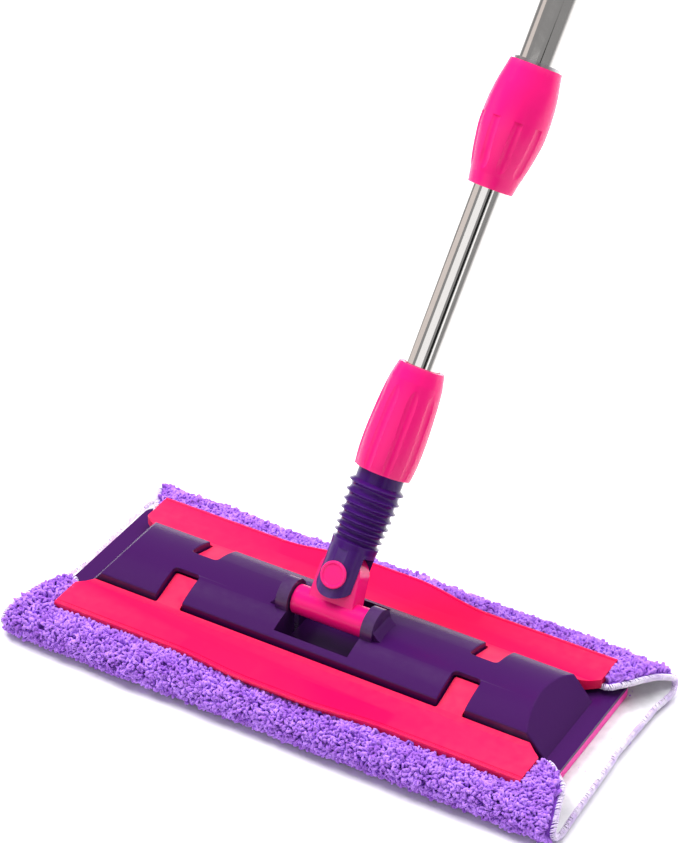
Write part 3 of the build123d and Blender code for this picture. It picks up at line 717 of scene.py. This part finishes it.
# ---- cloth
# the ends' X, from the hem to the sole's middle, at these shares of the half section
END_MARKS = (0.0, 0.12, 0.27, 0.4, 0.55, 1.0)
ENDS = {
    (FRONT, LEFT): (-173, -182, -191, -194, -192, -183),
    (FRONT, RIGHT): (167, 185, 193, 196, 195, 193),
    (BACK, LEFT): (-163, -171, -180, -184, -185, -183),
    (BACK, RIGHT): (161, 177, 194, 197, 194, 192),
}
# how far each free corner creeps inwards past the flap's end
CREEP = {(FRONT, LEFT): 14.0, (FRONT, RIGHT): 12.0, (BACK, LEFT): -3.0, (BACK, RIGHT): 14.0}


class GeometryGroup:
    """A Geometry Nodes tree with named inputs."""

    def __init__(self, name: str, inputs: dict[str, Socket]) -> None:
        """Make the empty tree with its mesh input and output.

        Args:
            name: Tree name.
            inputs: Input name to kind, after the mesh.
        """
        self.tree = bpy.data.node_groups.new(name, "GeometryNodeTree")
        self.tree.interface.new_socket("Mesh", in_out="INPUT", socket_type=Socket.MESH.value)
        self.tree.interface.new_socket("Mesh", in_out="OUTPUT", socket_type=Socket.MESH.value)
        self.sockets = {
            label: self.tree.interface.new_socket(label, in_out="INPUT", socket_type=kind.value)
            for label, kind in inputs.items()
        }
        self.start = self.tree.nodes.new("NodeGroupInput")
        self.end = self.tree.nodes.new("NodeGroupOutput")

    def node(self, kind: str, links: dict[str, bpy.types.NodeSocket] | None = None,
             **settings: object) -> bpy.types.Node:
        """Add a node.

        Args:
            kind: Blender's node type.
            links: Input name to the socket that feeds it.
            **settings: Properties of the node.

        Returns:
            The node.
        """
        made = add_node(self.tree, kind, **settings)
        for key, source in (links or {}).items():
            self.tree.links.new(source, made.inputs[key])
        return made

    def finish(self, instances: bpy.types.NodeSocket) -> None:
        """Make the instances real, give them the Material input and put them out."""
        real = self.node("GeometryNodeRealizeInstances", {"Geometry": instances})
        painted = self.node("GeometryNodeSetMaterial", {
            "Geometry": real.outputs["Geometry"], "Material": self.start.outputs["Material"],
        })
        self.tree.links.new(painted.outputs["Geometry"], self.end.inputs["Mesh"])

    def apply(self, target: bpy.types.Object, values: dict[str, object],
              name: str) -> bpy.types.Object:
        """Run the tree on an object and keep the plain result.

        Args:
            target: Object that the tree reads.
            values: Input name to its value.
            name: Name of the result.

        Returns:
            The result as a plain object; the target is removed.
        """
        modifier = target.modifiers.new(self.tree.name, "NODES")
        modifier.node_group = self.tree
        for label, value in values.items():
            modifier[self.sockets[label].identifier] = value
        return evaluated_copy(target, name)


def scatter_group() -> GeometryGroup:
    """Tree that scatters copies of an object over a mesh, standing off its faces.

    Returns:
        The tree, with inputs for the object, spacing, density, sizes, lean, seed and material.
    """
    group = GeometryGroup("scatter", {
        "Tuft": Socket.OBJECT, "Spacing": Socket.VALUE, "Density": Socket.VALUE,
        "Smallest": Socket.VALUE, "Largest": Socket.VALUE, "Lean": Socket.VALUE,
        "Seed": Socket.WHOLE, "Material": Socket.MATERIAL,
    })
    given = group.start.outputs
    points = group.node("GeometryNodeDistributePointsOnFaces", {
        "Mesh": given["Mesh"], "Distance Min": given["Spacing"], "Density Max": given["Density"],
        "Seed": given["Seed"],
    }, distribute_method="POISSON")
    tuft = group.node("GeometryNodeObjectInfo", {"Object": given["Tuft"]})
    low = group.node("ShaderNodeMath", {0: given["Lean"]}, operation="MULTIPLY")
    low.inputs[1].default_value = -1.0
    sides = [
        group.node("FunctionNodeRandomValue", {2: low.outputs[0], 3: given["Lean"],
                                               "Seed": given["Seed"]})
        for _ in range(2)
    ]
    for offset, side in enumerate(sides):
        seed = group.node("ShaderNodeMath", {0: given["Seed"]}, operation="ADD")
        seed.inputs[1].default_value = 11.0 + offset
        group.tree.links.new(seed.outputs[0], side.inputs["Seed"])
    spin = group.node("FunctionNodeRandomValue", {"Seed": given["Seed"]})
    spin.inputs[3].default_value = 2.0 * math.pi
    turn = group.node("ShaderNodeCombineXYZ", {
        "X": sides[0].outputs[1], "Y": sides[1].outputs[1], "Z": spin.outputs[1],
    })
    leaned = group.node("FunctionNodeRotateRotation", {
        "Rotation": points.outputs["Rotation"], "Rotate By": turn.outputs["Vector"],
    }, rotation_space="LOCAL")
    size = group.node("FunctionNodeRandomValue", {2: given["Smallest"], 3: given["Largest"],
                                                  "Seed": given["Seed"]})
    placed = group.node("GeometryNodeInstanceOnPoints", {
        "Points": points.outputs["Points"], "Instance": tuft.outputs["Geometry"],
        "Rotation": leaned.outputs["Rotation"], "Scale": size.outputs[1],
    })
    group.finish(placed.outputs["Instances"])
    return group


def stitch_group() -> GeometryGroup:
    """Tree that lays overlock stitches along the edges of a mesh.

    Returns:
        The tree, with inputs for the stitch, its spacing, its turn and its material.
    """
    group = GeometryGroup("stitches", {
        "Stitch": Socket.OBJECT, "Spacing": Socket.VALUE, "Seed": Socket.WHOLE,
        "Material": Socket.MATERIAL,
    })
    given = group.start.outputs
    line = group.node("GeometryNodeMeshToCurve", {"Mesh": given["Mesh"]})
    points = group.node("GeometryNodeCurveToPoints", {
        "Curve": line.outputs["Curve"], "Length": given["Spacing"],
    }, mode="LENGTH")
    stitch = group.node("GeometryNodeObjectInfo", {"Object": given["Stitch"]})
    sway = group.node("FunctionNodeRandomValue", {"Seed": given["Seed"]})
    sway.inputs[2].default_value = -0.25
    sway.inputs[3].default_value = 0.25
    turn = group.node("ShaderNodeCombineXYZ", {"X": sway.outputs[1], "Z": sway.outputs[1]})
    swung = group.node("FunctionNodeRotateRotation", {
        "Rotation": points.outputs["Rotation"], "Rotate By": turn.outputs["Vector"],
    }, rotation_space="LOCAL")
    placed = group.node("GeometryNodeInstanceOnPoints", {
        "Points": points.outputs["Points"], "Instance": stitch.outputs["Geometry"],
        "Rotation": swung.outputs["Rotation"],
    })
    group.finish(placed.outputs["Instances"])
    return group


def swept_tube(path: np.ndarray, radius: float | np.ndarray, sides: int,
               closed: bool = False) -> tuple[np.ndarray, list[tuple[int, ...]]]:
    """Round section swept along a path.

    Args:
        path: Points by 3, in metres.
        radius: One radius, or one for each point.
        sides: Sides of the section.
        closed: Whether the path is a ring.

    Returns:
        Vertices and faces.
    """
    count = len(path)
    ahead = np.roll(path, -1, axis=0) - np.roll(path, 1, axis=0)
    if not closed:
        ahead[0] = path[1] - path[0]
        ahead[-1] = path[-1] - path[-2]
    ahead /= np.linalg.norm(ahead, axis=1)[:, None]
    side = np.cross(ahead[0], (0.31, 0.52, 0.79))
    radii = np.broadcast_to(radius, (count,))
    verts = []
    for index in range(count):
        side = side - ahead[index] * np.dot(side, ahead[index])
        side /= np.linalg.norm(side)
        other = np.cross(ahead[index], side)
        for angle in np.arange(sides) * 2.0 * math.pi / sides:
            verts.append(path[index] + radii[index] * (side * math.cos(angle)
                                                       + other * math.sin(angle)))
    faces = []
    rings = count if closed else count - 1
    for ring in range(rings):
        following = (ring + 1) % count
        for corner in range(sides):
            beside = (corner + 1) % sides
            faces.append((ring * sides + corner, ring * sides + beside,
                          following * sides + beside, following * sides + corner))
    if not closed:
        faces.append(tuple(range(sides))[::-1])
        faces.append(tuple((count - 1) * sides + corner for corner in range(sides)))
    return np.array(verts), faces


@dataclass(frozen=True)
class LoopTuft:
    """A few curled loops of yarn that stand together: one tuft of the pile."""

    height: float = 4.3 * MM
    width: float = 2.4 * MM
    yarn: float = 0.74 * MM
    loops: int = 2
    steps: int = 8
    sides: int = 5
    tallness: tuple[float, float] = (0.72, 1.0)
    openness: tuple[float, float] = (0.35, 0.6)
    yarn_share: tuple[float, float] = (0.85, 1.15)
    stray: float = 0.45
    lean: float = 0.5
    curl: float = 0.22
    root_angle: float = 0.3
    root_depth: float = 0.06

    def build(self, name: str, seed: int) -> bpy.types.Object:
        """Make the tuft as an object that is not shown.

        Args:
            name: Object name.
            seed: Seed of its curl.

        Returns:
            The tuft.
        """
        chance = np.random.default_rng(seed)
        verts: list[np.ndarray] = []
        faces: list[tuple[int, ...]] = []
        for loop in range(self.loops):
            heading = chance.uniform(0, math.pi)
            tall = self.height * chance.uniform(*self.tallness)
            wide = self.width * chance.uniform(*self.openness)
            off = chance.uniform(-self.stray, self.stray, 2) * self.width
            lean = chance.uniform(-self.lean, self.lean, 2)
            angle = np.linspace(-self.root_angle, math.pi + self.root_angle, self.steps)
            along = np.cos(angle) * wide
            rise = np.clip(np.sin(angle), -self.root_depth, 1.0) * tall
            curl = np.sin(angle * 2.0 + loop) * self.width * self.curl
            path = np.column_stack([
                off[0] + along * math.cos(heading) - curl * math.sin(heading) + lean[0] * rise,
                off[1] + along * math.sin(heading) + curl * math.cos(heading) + lean[1] * rise,
                rise,
            ])
            thick = self.yarn * chance.uniform(*self.yarn_share)
            more, cells = swept_tube(path, thick, self.sides)
            start = sum(len(part) for part in verts)
            verts.append(more)
            faces.extend(tuple(corner + start for corner in cell) for cell in cells)
        return pattern_object(name, np.concatenate(verts), faces)


@dataclass(frozen=True)
class OverlockStitch:
    """One turn of overlock thread round the cloth's edge."""

    radius: float = 1.7 * MM
    slant: float = 0.8 * MM
    thread: float = 0.45 * MM
    spacing: float = 1.1 * MM
    corners: int = 9
    sides: int = 4

    def build(self) -> bpy.types.Object:
        """Make the stitch as an object that is not shown.

        Returns:
            The stitch.
        """
        angle = np.arange(self.corners) * 2.0 * math.pi / self.corners
        ring = np.column_stack([self.radius * np.cos(angle), self.radius * np.sin(angle),
                                self.slant * np.cos(angle)])
        points, faces = swept_tube(ring, self.thread, self.sides, closed=True)
        return pattern_object("stitch", points, faces)


def value_noise(place: np.ndarray, seed: int, waves: int = 9) -> np.ndarray:
    """Smooth noise from a few sine waves.

    Args:
        place: Points by 2 or more.
        seed: Seed of the waves.
        waves: How many waves are summed.

    Returns:
        One value for each point, about -1 to 1.
    """
    chance = np.random.default_rng(seed)
    total = np.zeros(place.shape[:-1])
    for _ in range(waves):
        wave = chance.normal(0, 1, place.shape[-1])
        total += np.sin(place @ wave + chance.uniform(0, 6.28))
    return total / 4.0


@dataclass(frozen=True)
class FreeEdge:
    """How the folded edge swells and sags where no flap holds it, in millimetres."""

    free_x: tuple[float, float] = (158.0, 171.0)
    top_share: tuple[float, float] = (0.14, 0.34)
    creep_fade: float = 1.6
    puff: float = 2.6
    puff_wave: float = 1.6
    puff_pitch: float = 0.09
    puff_start: float = -40.0
    droop_x: tuple[float, float] = (184.0, 206.0)
    droop: float = 5.5
    swell_y: tuple[float, float] = (63.0, 74.0)
    swell_z: tuple[float, float] = (6.0, 10.0)
    swell_out: float = 0.8
    swell_up: float = 0.7
    swell_pitch: tuple[float, float] = (0.055, 0.09)
    swell_shift: float = 7.0


@dataclass
class MopCloth:
    """The looped microfibre cloth: wrapped round the sole plate and clipped under the flaps.

    Lengths are in millimetres, but for flat, which is in metres and is not used.
    """

    palette: Palette
    flat: tuple[float, float] = (0.388, 0.272)
    thickness: float = 1.2
    ground_lift: float = 0.4
    ground_thickness: float = 0.6
    pile_lift: float = 0.45
    section: tuple[tuple[float, float], ...] = (
        (47.0, 16.2), (56.0, 16.3), (63.0, 16.7), (68.5, 17.4), (73.5, 17.6), (78.0, 15.9),
        (80.8, 12.6), (81.2, 9.6), (79.6, 6.6), (75.0, 5.3), (66.0, 5.2), (30.0, 5.2), (0.0, 5.2),
    )
    edge: FreeEdge = FreeEdge()
    steps: int = 64
    rows: int = 190
    clamped_x: float = 163.2
    clamped_y: float = 65.4
    bound_rows: int = 2
    sole_y: float = 70.0
    sole_z: float = 5.6
    band_x: tuple[float, float] = (-60.0, 70.0)
    edge_spacing: float = 3.4
    sole_spacing: float = 6.0
    density: float = 9.0e5
    tufts: tuple[LoopTuft, ...] = (
        LoopTuft(), LoopTuft(loops=3, height=4.6 * MM), LoopTuft(width=3.0 * MM),
    )
    stitch: OverlockStitch = OverlockStitch()

    def half(self, side: int, across: np.ndarray, along: np.ndarray) -> np.ndarray:
        """Backing points of one half.

        Args:
            side: FRONT or BACK.
            across: Place on the half section, 0 at the hem and 1 at the middle.
            along: Place from the left end to the right, -1 to 1.

        Returns:
            Rows by columns by 3, in millimetres.
        """
        edge = self.edge
        line = np.array(self.section)
        length = np.concatenate([[0], np.cumsum(np.linalg.norm(np.diff(line, axis=0), axis=1))])
        length /= length[-1]
        y = np.interp(across, length, line[:, 0])[None, :].repeat(len(along), 0)
        z = np.interp(across, length, line[:, 1])[None, :].repeat(len(along), 0)
        left = np.interp(across, END_MARKS, ENDS[side, LEFT])[None, :]
        right = np.interp(across, END_MARKS, ENDS[side, RIGHT])[None, :]
        share = (along[:, None] + 1.0) / 2.0
        x = left + (right - left) * share
        # past the flap's end the folded edge is free: it swells and creeps inwards
        free = smoothstep(np.abs(x), *edge.free_x)
        top = 1.0 - smoothstep(across, *edge.top_share)[None, :]
        inward = np.where(x > 0, CREEP[side, RIGHT], CREEP[side, LEFT])
        y = y - inward * free * top * (1.0 - across[None, :] * edge.creep_fade)
        ripple = np.sin((y - edge.puff_start) * edge.puff_pitch)
        z = z + free * top * (edge.puff + edge.puff_wave * ripple)
        # beyond the plate's end the free edge droops a little
        z = z - smoothstep(np.abs(x), *edge.droop_x) * top * edge.droop
        # and all along its outer edge the fold is a little uneven
        pitch_x, pitch_y = edge.swell_pitch
        place = np.stack([x * pitch_x, y * pitch_y * side + edge.swell_shift * side], axis=-1)
        swell = smoothstep(np.abs(y), *edge.swell_y) * np.ones_like(x)
        y = y + swell * edge.swell_out * value_noise(place, 5)
        raised = smoothstep(z, *edge.swell_z) * swell
        z = z + raised * edge.swell_up * value_noise(place, 8)
        return np.stack([x, side * y, z], axis=-1)

    def points(self) -> np.ndarray:
        """Backing points of the whole cloth, in metres.

        Returns:
            Rows from left to right, columns from the front hem to the back hem.
        """
        across = np.linspace(0.0, 1.0, self.steps + 1)
        along = np.linspace(-1.0, 1.0, self.rows)
        front = self.half(FRONT, across, along)
        back = self.half(BACK, across, along)
        return np.concatenate([front, back[:, -2::-1]], axis=1) * MM

    @staticmethod
    def layer(name: str, points: np.ndarray, thickness: float,
              material: bpy.types.Material) -> bpy.types.Object:
        """Make one layer of the cloth with its thickness.

        Args:
            name: Object name.
            points: Grid of points in metres, in the layer's middle.
            thickness: Thickness in millimetres.
            material: What it wears.

        Returns:
            The layer.
        """
        source = new_object("layer_source", grid_mesh("layer_source", points))
        modifier = source.modifiers.new("thickness", "SOLIDIFY")
        modifier.thickness = thickness * MM
        modifier.offset = 0.0
        made = evaluated_copy(source, name)
        made.data.shade_smooth()
        made.data.materials.clear()
        made.data.materials.append(material)
        return made

    def sheet(self) -> bpy.types.Object:
        """Make the knitted backing."""
        return self.layer("cloth_backing", self.points(), self.thickness, self.palette.backing)

    def shade_painted_ground(self) -> bpy.types.Object:
        """Make the roots layer under the pile, its colour a painted shade: darker than the pile,
        for the shade between tufts.

        Returns:
            The darkened roots layer.
        """
        grid = self.points() / MM
        raised = grid + self.outer_normals(grid) * (self.thickness / 2 + self.ground_lift)
        return self.layer("pile_ground", raised * MM, self.ground_thickness, self.palette.shade_painted_ground)

    def seams(self) -> bpy.types.Object:
        """Bind the four edges with overlock stitches.

        Returns:
            The stitches of all four edges.
        """
        grid = self.points()
        verts: list[np.ndarray] = []
        edges: list[tuple[int, int]] = []
        for run in (grid[:, 0], grid[:, -1], grid[0], grid[-1]):
            start = sum(len(part) for part in verts)
            verts.append(run)
            edges.extend((start + index, start + index + 1) for index in range(len(run) - 1))
        mesh = bpy.data.meshes.new("edge_lines")
        mesh.from_pydata(np.concatenate(verts).tolist(), edges, [])
        stitch = self.stitch.build()
        made = stitch_group().apply(new_object("edge_lines", mesh), {
            "Stitch": stitch, "Spacing": self.stitch.spacing, "Seed": 4,
            "Material": self.palette.thread,
        }, "overlock_seams")
        bpy.data.objects.remove(stitch)
        return made

    @staticmethod
    def outer_normals(grid: np.ndarray) -> np.ndarray:
        """Unit normals that point out of the wrap, away from the plate.

        Args:
            grid: Rows by columns by 3.

        Returns:
            One normal for each point of the grid.
        """
        normal = np.cross(np.gradient(grid, axis=0), np.gradient(grid, axis=1))
        normal /= np.linalg.norm(normal, axis=2)[:, :, None]
        middle = normal[grid.shape[0] // 2, grid.shape[1] // 2]
        return normal if middle[2] < 0 else -normal

    def zones(self, grid: np.ndarray, normal: np.ndarray) -> dict[str, tuple[np.ndarray, float]]:
        """Where the pile stands free, apart from its bound edges and what the flaps hold down.

        Args:
            grid: Backing points in millimetres.
            normal: Their outward normals.

        Returns:
            Zone name to its mask and the spacing of its tufts.
        """
        rows = self.bound_rows
        held = (normal[:, :, 2] > 0) & (np.abs(grid[:, :, 1]) < self.clamped_y)
        held &= np.abs(grid[:, :, 0]) < self.clamped_x
        held[:, :rows] = held[:, -rows:] = True
        held[:rows] = held[-rows:] = True
        flat = (grid[:, :, 2] < self.sole_z) & (np.abs(grid[:, :, 1]) < self.sole_y)
        return {"edge": (~held & ~flat, self.edge_spacing),
                "sole": (~held & flat, self.sole_spacing)}

    def pile(self) -> list[bpy.types.Object]:
        """Scatter loop tufts over the outer side, in pieces.

        Returns:
            The pile's pieces.
        """
        grid = self.points() / MM
        normal = self.outer_normals(grid)
        skin = grid + normal * (self.thickness / 2 + self.pile_lift)
        scatter = scatter_group()
        tufts = [kind.build("tuft_%d" % index, 20 + index) for index, kind in enumerate(self.tufts)]
        low, high = self.band_x
        bands = {"left": (-math.inf, low), "middle": (low, high), "right": (high, math.inf)}
        pieces = []
        for zone, (chosen, spacing) in self.zones(grid, normal).items():
            for band, (low, high) in bands.items():
                for side, part in ((FRONT, "front"), (BACK, "back")):
                    keep = chosen & (grid[:, :, 0] >= low) & (grid[:, :, 0] < high)
                    keep &= grid[:, :, 1] * side >= 0
                    for index, tuft in enumerate(tufts):
                        pieces.append(scatter.apply(self.patch(skin, keep, normal), {
                            "Tuft": tuft, "Spacing": spacing * MM, "Density": self.density,
                            "Smallest": 0.85, "Largest": 1.15, "Lean": 0.5,
                            "Seed": 3 + index, "Material": self.palette.pile,
                        }, "pile_%s_%s_%s_%d" % (zone, band, part, index)))
        for tuft in tufts:
            bpy.data.objects.remove(tuft)
        return pieces

    @staticmethod
    def patch(skin: np.ndarray, keep: np.ndarray, normal: np.ndarray) -> bpy.types.Object:
        """Object of the grid's cells whose corners are all kept, facing outwards.

        Args:
            skin: Points of the grid in millimetres.
            keep: Which points are kept.
            normal: Outward normals of the points.

        Returns:
            The patch, for a tree to read.
        """
        columns = skin.shape[1]
        cells = keep[:-1, :-1] & keep[1:, :-1] & keep[1:, 1:] & keep[:-1, 1:]
        rows, cols = np.nonzero(cells)
        faces = np.stack([rows * columns + cols, rows * columns + cols + 1,
                          (rows + 1) * columns + cols + 1, (rows + 1) * columns + cols], axis=1)
        points = skin.reshape(-1, 3)
        first = points[faces[0]]
        facing = np.cross(first[1] - first[0], first[2] - first[1])
        if np.dot(facing, normal.reshape(-1, 3)[faces[0][0]]) < 0:
            faces = faces[:, ::-1]
        used, packed = np.unique(faces, return_inverse=True)
        mesh = bpy.data.meshes.new("patch")
        mesh.from_pydata((points[used] * MM).tolist(), [], packed.reshape(-1, 4).tolist())
        mesh.update()
        return new_object("patch", mesh)

    def build(self) -> None:
        backing = self.sheet()
        extras = [self.shade_painted_ground(), self.seams(), *self.pile()]
        made = [backing, *extras]
        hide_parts("mop_cloth")
        for piece in made:
            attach(piece, "head")
            LOG.info("%s: %d triangles", piece.name, count_triangles([piece]))
        LOG.info("cloth: %d pieces, %d triangles", len(made), count_triangles(made))


# ---- hard pieces
@dataclass(frozen=True)
class HardPieces:
    """A sub-assembly of moulded and metal pieces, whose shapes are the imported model's own."""

    title: str
    finishes: dict[str, bpy.types.Material]

    def build(self, nodes: dict[str, bpy.types.Object]) -> None:
        """Dress each piece.

        Args:
            nodes: Piece name to its object.
        """
        for name, material in self.finishes.items():
            node = nodes[name]
            if not node.material_slots:
                node.data.materials.append(material)
            for slot in node.material_slots:
                slot.material = material
            LOG.info("%s: %s in %s", self.title, name, material.name)


def hard_pieces(palette: Palette) -> list[HardPieces]:
    """Every hard sub-assembly, from the floor upwards.

    Args:
        palette: The finishes.

    Returns:
        The sub-assemblies.
    """
    return [
        HardPieces("head", {
            "sole_plate": palette.sole, "housing": palette.cover, "mop_cloth": palette.pile,
        }),
        HardPieces("flaps", {
            "front_flap": palette.flap, "back_flap": palette.flap,
        }),
        HardPieces("swivel", {
            "swivel_barrel": palette.fitting, "yoke": palette.joint,
            "front_pin_cap": palette.fitting, "back_pin_cap": palette.fitting,
        }),
        HardPieces("lower_handle", {
            "lower_tube": palette.steel, "lower_collet": palette.inner,
            "lower_collar": palette.fitting,
        }),
        HardPieces("upper_handle", {
            "lock_sleeve": palette.fitting, "upper_tube": palette.steel, "grip": palette.fitting,
            "end_cap": palette.joint,
        }),
        HardPieces("hardware", dict.fromkeys((
            "axle_keepers", "back_hinge_rod", "back_tab_springs", "front_hinge_rod",
            "front_tab_springs", "housing_screws", "lock_bush", "lock_collet", "swivel_axle",
            "tilt_pin", "tube_top_bush",
        ), palette.plated)),
    ]


# ---- main
def main(frame: dict) -> None:
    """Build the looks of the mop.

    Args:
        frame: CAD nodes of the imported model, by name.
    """
    logging.basicConfig(level=logging.INFO, format="%(message)s")
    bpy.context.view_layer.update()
    palette = Palette(Effects())
    Studio().build()
    for assembly in hard_pieces(palette):
        assembly.build(frame["nodes"])
    MopCloth(palette).build()


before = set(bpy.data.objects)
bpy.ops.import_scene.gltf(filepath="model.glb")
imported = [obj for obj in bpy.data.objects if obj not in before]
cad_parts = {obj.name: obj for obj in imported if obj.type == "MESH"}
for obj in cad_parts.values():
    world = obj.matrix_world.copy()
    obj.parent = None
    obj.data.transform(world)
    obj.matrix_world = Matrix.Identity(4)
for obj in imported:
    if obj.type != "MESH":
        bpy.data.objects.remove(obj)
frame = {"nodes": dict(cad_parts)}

if __name__ == "__main__":
    main(frame)
